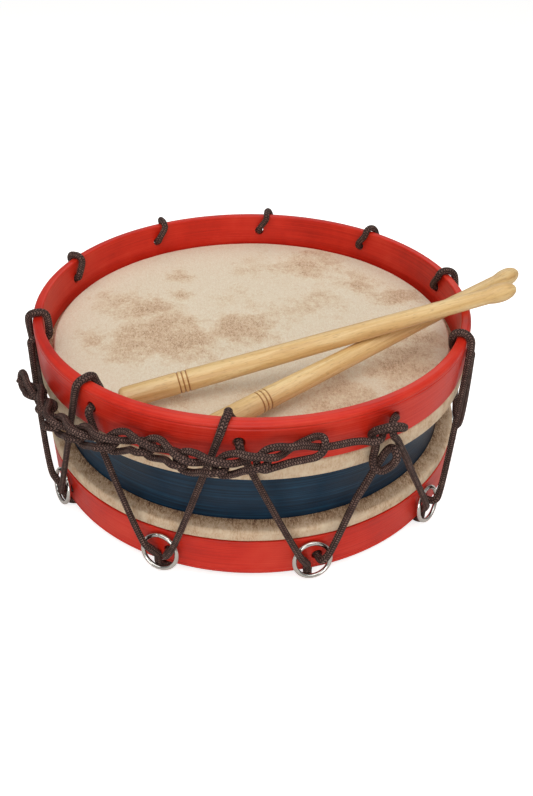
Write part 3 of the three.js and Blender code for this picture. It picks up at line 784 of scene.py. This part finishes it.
def overTheRim(crossing):
    points = []
    for turn in (0, 30, 60, 90, 100, 140, 180):
        radius, height = roundTheEdge(turn, turn > 90, rimTop, 1)
        points.append(around(crossing + cord["lean"] * min(1, turn / 90), radius, height))
    return points


def outOfUpperHole(hole):
    return [
        around(hole - 0.2, cordInside, topHoleHeight + holeBend),
        around(hole, cordInside + 1, topHoleHeight + 1),
        around(hole, rimInner + 0.8, topHoleHeight),
        around(hole, rimRadius, topHoleHeight),
    ]


def downToRing(ringAt):
    degrees, radius, height = overWire(ringAt, rings["leftLeg"])
    under = ringAt + drum["under"]
    inside = wireOuter - rings["wire"] / 2 - wrap
    return [
        around(degrees, radius, height),
        around(degrees + 0.9, radius - 1.6, height - 5),
        around(under - 0.3, inside + 0.6, ringHeight - 4),
        around(under, inside, drum["stand"] + footTop + 4),
    ]


# the turn under the lower hoop, pressed flat where the drum stands on it
def underTheHoop(ringAt):
    under, hole = ringAt + drum["under"], ringAt + drum["bottomHole"]
    points = [around(under, cordOutside, drum["stand"] + footTop)]
    for turn, inside, share in (
        (0, False, 0),
        (45, False, 45),
        (90, False, 90),
        (90, True, 120),
        (135, True, 165),
        (180, True, 210),
    ):
        radius, height = roundTheEdge(turn, inside, drum["stand"], -1)
        points.append(around(under + (hole - under) * share / 210, radius, height))
    points.append(around(hole, cordInside, drum["stand"] + footTop))
    return points


def standFlat(piece):
    for vertex in piece.data.vertices:
        vertex.co.z = max(vertex.co.z, floorGap * mm)


# the knot's routes: right of its middle, down from the upper hoop's edge and out from the hoops
knot = {
    "lace": 7,  # the lace that is knotted below its hole
    "angle": 300.4,
    "out": 10.0,
    "falling": [
        (7.6, 12.6, 2.8), (3.2, 11, 5.2), (-0.2, 12.2, 8.4), (-0.8, 16.2, 10.3), (1.2, 20.6, 10),
        (4.8, 24.8, 9.4), (7.4, 29.6, 9.2), (9.9, 33.8, 8.8), (16.8, 45.6, 8), (26, 62, 7),
    ],
    "rising": [(-19.4, 66, 6), (-16, 60, 6.2), (-12.6, 53.2, 6.4), (-9.8, 48, 6.6)],
    "turns": [
        # up behind the hanging bight
        (-8.2, 43.8, 6.8), (-6.6, 40.2, 7.3), (-5.3, 36.8, 8), (-3.9, 33.4, 8.5),
        (-2.2, 30.4, 9.2), (-1.2, 27.8, 10.9), (-1.2, 26.6, 13.8), (-1.6, 27.8, 16.8),
        # down its front
        (-2, 30.8, 18.2), (-2.6, 34.6, 17.4), (-3.4, 38, 15.8), (-5.2, 40.8, 14.4),
        (-8, 42.2, 13.2), (-10.8, 41.6, 11.6),
        # up the left side
        (-12, 39.2, 9.2), (-11, 36.4, 6.6), (-9, 33.8, 4.6), (-7.4, 30.6, 3.6), (-7.6, 27, 3.3),
        (-9.6, 23.4, 3.4), (-11.8, 20, 3.8), (-13.2, 16, 5.4),
        # the top turn, in front of the falling leg
        (-12.8, 11.4, 8.8), (-9.8, 7.8, 12.8), (-5.4, 6.2, 15.6), (-1, 7.4, 16.6), (3, 10.4, 15.2),
        (5.4, 14.2, 11.6), (5.4, 17.2, 7.4),
    ],
    "lead": [
        (3.6, 19, 4.4), (0.4, 19.8, 3.2), (-2.8, 19.4, 3.8), (-5.6, 18.2, 6.4), (-8.2, 17.2, 9.6),
        (-11.6, 17, 11.8), (-15.6, 17.8, 11.2), (-20, 17.4, 8.8), (-27, 16.6, 7.6),
    ],
}


def knotRoute(name):
    route = []
    for right, down, out in knot[name]:
        degrees = knot["angle"] + degreesOf(right, rimRadius + knot["out"])
        route.append(around(degrees, rimRadius + out, rimTop - down))
    return route


plait = {
    "stitches": 10,
    "pitch": 24.0,
    "spacing": 6.1,  # between the middles of strands that cross
    "start": 281.8,
    "drops": (14, 20.5, 35),  # below the upper hoop's edge: at the knot, in front, at the left
    "rise": (262, 276),  # the degrees between which it climbs to the knot
    "fall": (208, 248),  # and sinks to the left
    "lift": (7.5, 15),  # how near a pair of legs it lies on them, and how far off on the hoop
    "clear": 0.45,
}
# one chain stitch: along in pitches, across and out in spacings
stitch = [
    # behind the plait
    (-0.55, -0.25, -1), (-0.25, 0, -0.25), (-0.05, 0.5, 0.45),
    # the loop's upper leg
    (0.25, 0.9, 0.6), (0.55, 1.05, 0.25), (0.85, 1.1, -0.3),
    # its head
    (1.15, 0.8, -0.4), (1.35, -0.2, -0.1), (1.2, -1.2, 0),
    # its lower leg
    (0.9, -1.25, -0.05), (0.65, -0.6, 0.45), (0.35, -0.25, 0.9), (0.1, -0.3, 0.3),
    (0.15, -0.3, -0.8),
]
# the first loop, whose end is wound once round the lead
opening = [
    (-0.5, -0.2, -0.05), (-0.15, 0.1, 0.05), (0.2, 0.75, 0.35), *stitch[4:9], (0.9, -1.1, 0),
    (0.5, -0.9, 0.3), (0.15, -0.8, 0.65), (-0.1, -0.4, 0.95), (-0.25, 0.25, 1.05),
    (-0.33, 0.85, 0.65), (-0.33, 1.05, -0.1), (-0.2, 0.7, -0.8), (0.05, 0.15, -1.05),
]
plaitDeep = plait["spacing"] + cord["tail"] / 2 + plait["clear"]
plaitOnHoop = rimRadius + plaitDeep
plaitOnLegs = cordOutside + legsOut + cordRadius + plaitDeep


def plaitPlace(row, along, across, out):
    degrees = plait["start"] - degreesOf((row + along) * plait["pitch"], plaitOnHoop)
    legPair = drum["firstRing"] + drum["crossing"] + (drum["topHole"] + 1) / 2
    past = (degrees - legPair) % laceStep
    fromPair = min(past, laceStep - past)
    share = smoothstep(fromPair, *plait["lift"])
    radius = plaitOnLegs + (plaitOnHoop - plaitOnLegs) * share + out * plait["spacing"]
    start, middle, end = plait["drops"]
    rise = (middle - start) * smoothstep(degrees, *plait["rise"])
    fall = (end - middle) * (1 - smoothstep(degrees, *plait["fall"]))
    return around(degrees, radius, rimTop - middle + rise - fall + across * plait["spacing"])


# a lace: out of a lower hole, up through its ring, over the rim, in, out of the upper hole, down
# through the next ring and under the lower hoop
def lace(name, ringAt, nodes):
    crossing = ringAt + drum["crossing"]
    hole = crossing + drum["topHole"]
    nextRing = ringAt + laceStep
    up, down = outOfLowerHole(ringAt), downToRing(nextRing)
    belowTheHole = around(hole + 0.3, cordOutside + 0.3, topHoleHeight - 1.6)
    stretches = [
        up[:-1],
        [up[-1], around(crossing - 2.1, cordOutside + legsOut, topSeat + 9)],
        [*overTheRim(crossing), *outOfUpperHole(hole), belowTheHole],
        [around(hole + 0.8, cordOutside + legsOut, topHoleHeight - 6), down[0]],
        [*down[1:], *underTheHoop(nextRing)],
    ]
    return stretchedCord(name, stretches, nodes)


# a cord in stretches that are by turns bent and pulled straight
def stretchedCord(name, stretches, nodes):
    route, sizes = [], []
    for i, points in enumerate(stretches):
        route += points
        sizes += [cord["pulled"] if i % 2 else drum["cord"]] * len(points)
    piece = braided(name, route, sizes, "drum", nodes)
    standFlat(piece)
    return piece


def lacing():
    firstLace = lace("lace1", drum["firstRing"], ["lacing_run_1", "lacing_foot_2"])
    run = 2
    for i in range(1, drum["laces"]):
        foot = f"lacing_foot_{(i + 1) % drum['laces'] + 1}"
        if i == knot["lace"]:
            atTheKnot(drum["firstRing"] + i * laceStep, foot)
            continue
        nextLace = copyOf(firstLace, f"lace{run}")
        setDown(nextLace, roundTheDrum(i * laceStep))
        finishPiece(nextLace, "drum", cordFinish, [f"lacing_run_{run}", foot])
        run += 1


# the rising leg, the knot and the plait are one cord, drawn thinner as it goes, and the last leg
# comes out of the knot's hole
def atTheKnot(ringAt, foot):
    outOfHole = outOfLowerHole(ringAt)
    rising, turns = [outOfHole.pop(), *knotRoute("rising")], knotRoute("turns")
    tail = [*knotRoute("lead"), *(plaitPlace(0, *place) for place in opening)]
    for row in range(1, plait["stitches"]):
        tail += [plaitPlace(row, *place) for place in stitch]
    tail += [plaitPlace(plait["stitches"], *place) for place in stitch[:3]]
    sizes = [drum["cord"]] * len(outOfHole) + [cord["pulled"]] * len(rising)
    sizes += [cord["knot"]] * len(turns) + [cord["tail"]] * len(tail)
    nodes = ["lacing_start", "lacing_knot", "plaited_tail"]
    braided("knottedCord", [*outOfHole, *rising, *turns, *tail], sizes, "drum", nodes)
    hole = ringAt + drum["crossing"] + drum["topHole"]
    nextRing = ringAt + laceStep
    down = downToRing(nextRing)
    leg = [*knotRoute("falling"), down[0]]
    stretches = [outOfUpperHole(hole), leg, [*down[1:], *underTheHoop(nextRing)]]
    stretchedCord("lastLeg", stretches, ["lacing_end", foot])


lacing()
print("the cord is laced, knotted and plaited")

# hoops, shell and skins

smoothBelow = 32  # degrees, on the painted wood
hoop = {
    "steps": 160,
    "crease": (0.35, 1.6),  # how deep and how wide the scored line is
    "belowRound": 0.3,  # and how far under the rounded edge
    "edge": 0.8,
    "hole": 8.0,
    "drillSides": 24,
}


def counterHoop(name, node, upward, firstHole, holeHeight):
    wall, tall = drum["hoopWall"], drum["hoopHeight"]
    deep, wide = hoop["crease"]
    crease = tall - drum["outerRound"] - hoop["belowRound"]
    points = [
        (rimInner, 0, hoop["edge"]),
        (rimRadius, 0, hoop["edge"]),
        (rimRadius, crease - wide, 0.25),
        (rimRadius - deep, crease - wide / 2, 0.2),
        (rimRadius, crease, 0.2),
        (rimRadius, tall, drum["outerRound"]),
        (rimInner, tall, drum["innerRound"]),
    ]
    base, sign = (topSeat, 1) if upward else (bottomSeat, -1)
    outline = [(p.x, base + sign * p.y) for p in rounded(points)]
    piece = spunPiece(name, outline, (axisX, axisY), hoop["steps"], True)
    # one drill, copied round the drum
    deselectAll()
    bpy.ops.mesh.primitive_cylinder_add(
        vertices=hoop["drillSides"],
        radius=hoop["hole"] / 2 * mm,
        depth=3 * wall * mm,
        location=around(firstHole, rimRadius - wall / 2, holeHeight),
        rotation=(0, math.pi / 2, math.radians(firstHole)),
    )
    cutter = bpy.context.object
    bpy.ops.object.mode_set(mode="EDIT")
    bpy.ops.mesh.select_all(action="SELECT")
    for _ in range(1, drum["laces"]):
        bpy.ops.mesh.duplicate()
        bpy.ops.transform.rotate(
            value=math.radians(laceStep), orient_axis="Z", center_override=(axisX, axisY, 0)
        )
    selectOnly(piece)
    cut = piece.modifiers.new("holes", "BOOLEAN")
    cut.object, cut.operation, cut.solver = cutter, "DIFFERENCE", "EXACT"
    bpy.ops.object.modifier_apply(modifier=cut.name)
    bpy.data.objects.remove(cutter)
    edge = piece.modifiers.new("edge", "WEIGHTED_NORMAL")
    edge.keep_sharp = True
    finishPiece(piece, "drum", redEnamel, [node], smoothBelow)
    bpy.ops.object.modifier_apply(modifier=edge.name)


topHole = drum["firstRing"] + drum["crossing"] + drum["topHole"]
bottomHole = drum["firstRing"] + drum["bottomHole"]
counterHoop("upperHoop", "top_counter_hoop", True, topHole, topHoleHeight)
counterHoop("lowerHoop", "bottom_counter_hoop", False, bottomHole, bottomHoleHeight)

shell = {"wall": 6.5, "bearing": 2.2, "innerEdge": 0.6, "steps": 160}
shellTop = headTop - drum["skin"] - drum["seat"]
shellBottom = drum["stand"] + drum["recess"] + drum["skin"] + drum["seat"]
shellInner = shellRadius - shell["wall"]
points = [
    (shellInner, shellBottom, shell["innerEdge"]),
    (shellRadius, shellBottom, shell["bearing"]),
    (shellRadius, shellTop, shell["bearing"]),
    (shellInner, shellTop, shell["innerEdge"]),
]
outline = [(p.x, p.y) for p in rounded(points)]
shellPiece = spunPiece("shellBand", outline, (axisX, axisY), shell["steps"], True)
finishPiece(shellPiece, "drum", blueEnamel, ["shell"], smoothBelow)

head = {
    "upperLap": 13.8,
    "lowerLap": 9.5,
    "lapReach": 30.0,  # from the hoop's edge, where all of the lap lies
    "corner": 2.6,
    "innerBend": 1.8,  # over the shell's edge
    "outerBend": 1.4,  # where it turns out over the hoop
    "edgeRound": 0.4,
    "tuckGap": 2.5,
    "steps": 160,
    "spacing": 7.0,  # of the rings across the flat skin, so that it can wave a little
    "margin": 8.0,  # at its edge, without rings
    "collar": 4.0,  # how far inside its edge the lap's finish begins
    "wave": 22.0,  # from one shallow wave to the next
    "waveHeight": 0.5,
    "waveLevel": 0.62,
    "smoothBelow": 40,
}


def skinHead(name, node, upward, lap):
    level = drum["hoopHeight"] - drum["recess"]
    skin, seat, bearing = drum["skin"], drum["seat"], shell["bearing"]
    foot, inside, pinch = -seat - lap, skinRadius - skin, -seat - skin
    corner = head["corner"]
    points = [
        (0, level - skin, 0),
        (inside, level - skin, head["innerBend"]),
        (inside, pinch, 0),
        (rimRadius - skin, pinch, corner - skin),
        (rimRadius - skin, foot + skin, corner - skin),
        (skinRadius, foot + skin, 0),
        (skinRadius, pinch - head["tuckGap"], 0),
        (inside, pinch - head["tuckGap"], 0),
        (inside, foot, head["edgeRound"]),
        (rimRadius, foot, corner),
        (rimRadius, -seat, corner),
        (skinRadius, -seat, head["outerBend"]),
        (skinRadius, level, bearing),
        (0, level, 0),
    ]
    outline = rounded(points, 5, False)
    reach = np.arange(head["spacing"], skinRadius - head["margin"], head["spacing"])
    flat = [Vector((radius, level)) for radius in reach]
    outline = outline[:-1] + flat[::-1] + outline[-1:]
    base, sign = (topSeat, 1) if upward else (bottomSeat, -1)
    outline = [(p.x, base + sign * p.y) for p in outline]
    piece = spunPiece(name, outline, (axisX, axisY), head["steps"], False)
    cloud = bpy.data.textures.new(name + "Waves", "CLOUDS")
    cloud.noise_scale, cloud.noise_depth = head["wave"] * mm, 2
    wave = piece.modifiers.new("waves", "DISPLACE")
    wave.texture, wave.texture_coords, wave.mid_level = cloud, "LOCAL", head["waveLevel"]
    wave.strength = head["waveHeight"] * mm
    bpy.context.view_layer.objects.active = piece
    bpy.ops.object.modifier_apply(modifier=wave.name)
    finishPiece(piece, "drum", headSkin, [node], head["smoothBelow"])
    piece.data.materials.append(collarSkin)
    low, high = sorted((base, base - sign * head["lapReach"]))
    for face in piece.data.polygons:
        middle = face.center
        out = math.hypot(middle.x - axisX, middle.y - axisY) / mm
        if low <= middle.z / mm <= high and out > skinRadius - head["collar"]:
            face.material_index = 1


skinHead("upperHead", "top_head", True, head["upperLap"])
skinHead("lowerHead", "bottom_head", False, head["lowerLap"])

for name in ("top_flesh_hoop", "bottom_flesh_hoop"):
    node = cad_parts[name]
    node.data.materials.clear()
    node.data.materials.append(hoopWood)
print("hoops, shell and skins are made")

# tension rings


# the ring as welded, lying at the origin
def weldedRing():
    deselectAll()
    bpy.ops.mesh.primitive_torus_add(
        major_segments=rings["turns"],
        minor_segments=rings["sides"],
        major_radius=ringRadius * mm,
        minor_radius=rings["wire"] / 2 * mm,
    )
    piece = bpy.context.object
    piece.name = "ring1"
    # the butt joint: one loop of the wire is pinched in
    bpy.ops.object.mode_set(mode="EDIT")
    bpy.ops.mesh.select_all(action="DESELECT")
    shape = bmesh.from_edit_mesh(piece.data)
    for vertex in shape.verts:
        vertex.select = abs(math.atan2(vertex.co.y, vertex.co.x)) < math.pi / rings["turns"]
    shape.select_flush(True)
    bmesh.update_edit_mesh(piece.data)
    bpy.ops.transform.resize(value=[rings["pinch"]] * 3, center_override=(ringRadius * mm, 0, 0))
    bpy.ops.object.mode_set(mode="OBJECT")
    return piece


firstRing = weldedRing()
for number in range(drum["laces"], 0, -1):
    ring = firstRing if number == 1 else copyOf(firstRing, f"ring{number}")
    degrees = drum["firstRing"] + (number - 1) * laceStep
    place = Matrix.Translation(around(degrees, ringOut, ringHeight))
    facing = Matrix.Rotation(math.radians(degrees), 4, "Z")
    lean = Matrix.Rotation(math.pi / 2 - ringLean, 4, "Y")
    joint = Matrix.Rotation(2 * math.pi * (rings["joint"] + rings["jointStep"] * number), 4, "Z")
    setDown(ring, place @ facing @ lean @ joint)
    node = f"tension_ring_{number}"
    finishPiece(ring, f"ring_{number}", wireFinish, [node], rings["smoothBelow"])
print("rings are made")

# drumsticks

stick = {
    "length": 287.0,
    "butt": 7.4,
    # shares of the butt's radius, and how far from its end
    "buttEnd": (
        (0.3, 0.12), (0.55, 0.45), (0.76, 1.1), (0.9, 2.1), (0.975, 3.4), (1, 5), (1, 20), (1, 40),
    ),
    "grooves": (41.0, 44.0, 47.0),
    "groove": ((-0.75, 0), (-0.5, 0.12), (0, 0.5), (0.5, 0.12), (0.75, 0)),  # along, and how deep
    "burnt": 0.45,  # half the width of a groove's dark line
    "taper": 48.0,  # where it begins
    "neck": 5.6,
    "bulb": 6.8,
    "bulbLength": 23.0,
    # shares of the bulb's length, and of its radius
    "neckSide": ((0, 0.83), (0.06, 0.84), (0.14, 0.89), (0.25, 0.955), (0.36, 0.99), (0.47, 1.0)),
    "tipSide": ((0.58, 0.975), (0.69, 0.905), (0.79, 0.79), (0.87, 0.65), (0.94, 0.46), (0.985, 0.23)),
    "steps": 56,
    "smoothBelow": 50,
    "lower": {"place": (-28.478, -147.883, 119.165), "heading": 35.0, "rise": 6.0099, "grain": 0.0},
    "upper": {"place": (-87.284, -115.410, 118.951), "heading": 15.35, "rise": 8.9974, "grain": 0.4},
}


# the stick as turned, upright at the origin, its butt down
def turnedStick(name):
    butt, neck, bulb, length = stick["butt"], stick["neck"], stick["bulb"], stick["bulbLength"]
    bulbStart = stick["length"] - length
    outline = [(0, 0), *((butt * share, along) for share, along in stick["buttEnd"])]
    for middle in stick["grooves"]:
        outline += [(butt - deep, middle + along) for along, deep in stick["groove"]]
    for share in (0.2, 0.4, 0.6, 0.8, 0.94):
        along = stick["taper"] + (bulbStart - stick["taper"]) * share
        outline.append((butt + (neck - butt) * share, along))
    for along, share in stick["neckSide"] + stick["tipSide"]:
        outline.append((bulb * share, bulbStart + length * along))
    outline.append((0, stick["length"]))
    piece = spunPiece(name, outline, (0, 0), stick["steps"], False)
    # burnt lines: the faces at the bottom of the grooves
    piece.data.materials.append(stickFinish)
    piece.data.materials.append(burntLine)
    for face in piece.data.polygons:
        offset = min(abs(face.center.z / mm - middle) for middle in stick["grooves"])
        face.material_index = 1 if offset < stick["burnt"] else 0
    return piece


def layStick(piece, body, node, lie):
    # the grain follows the stick, so each point keeps its place along it
    grain = piece.data.attributes.new("grain", "FLOAT_VECTOR", "POINT")
    for vertex, value in zip(piece.data.vertices, grain.data):
        value.vector = (vertex.co.x + lie["grain"], vertex.co.y, vertex.co.z)
    heading, rise = math.radians(lie["heading"]), math.radians(lie["rise"])
    flat = math.cos(rise)
    aim = Vector((math.cos(heading) * flat, math.sin(heading) * flat, math.sin(rise)))
    x, y, z = lie["place"]
    place = Matrix.Translation((axisX + x * mm, axisY + y * mm, z * mm))
    setDown(piece, place @ aim.to_track_quat("Z", "Y").to_matrix().to_4x4())
    bpy.ops.object.shade_smooth_by_angle(angle=math.radians(stick["smoothBelow"]))
    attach(piece, body)
    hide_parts(node)


lowerStick = turnedStick("lowerStick")
upperStick = copyOf(lowerStick, "upperStick")
layStick(lowerStick, "lower_stick", "lower_drumstick", stick["lower"])
layStick(upperStick, "upper_stick", "upper_drumstick", stick["upper"])
print("drumsticks are made")
